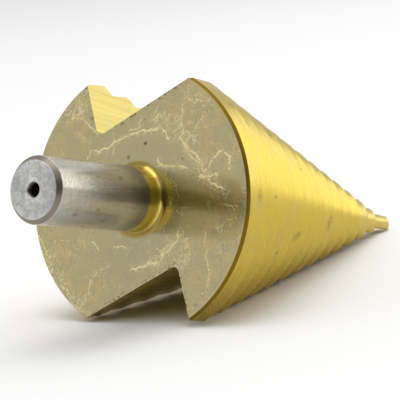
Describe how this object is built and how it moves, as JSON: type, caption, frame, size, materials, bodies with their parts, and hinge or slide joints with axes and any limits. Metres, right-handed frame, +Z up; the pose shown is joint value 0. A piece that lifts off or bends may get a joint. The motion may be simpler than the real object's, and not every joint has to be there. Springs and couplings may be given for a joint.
{
  "type": "step drill",
  "caption": "Stepped cone drill for sheet metal with two straight V flutes, a gold hard coating and a plain round steel shank.",
  "frame": {"origin": "centre of the bounding box, on the surface that the drill lies on", "axes": "+X along the drill's axis as seen from above, from shank to tip; +Z up, away from the surface; the drill lies at rest on the rim corners of one flute and on its tip, so its own axis dips 14 degrees towards the tip"},
  "size_m": [0.093, 0.0418, 0.0362],
  "materials": {
    "coated_steel": "fine ground tool steel with a glossy gold hard coating on the cone, flutes and back face, and bare ground steel on the shank"
  },
  "bodies": {
    "root": {"step_drill": "coated_steel"}
  },
  "joints": []
}
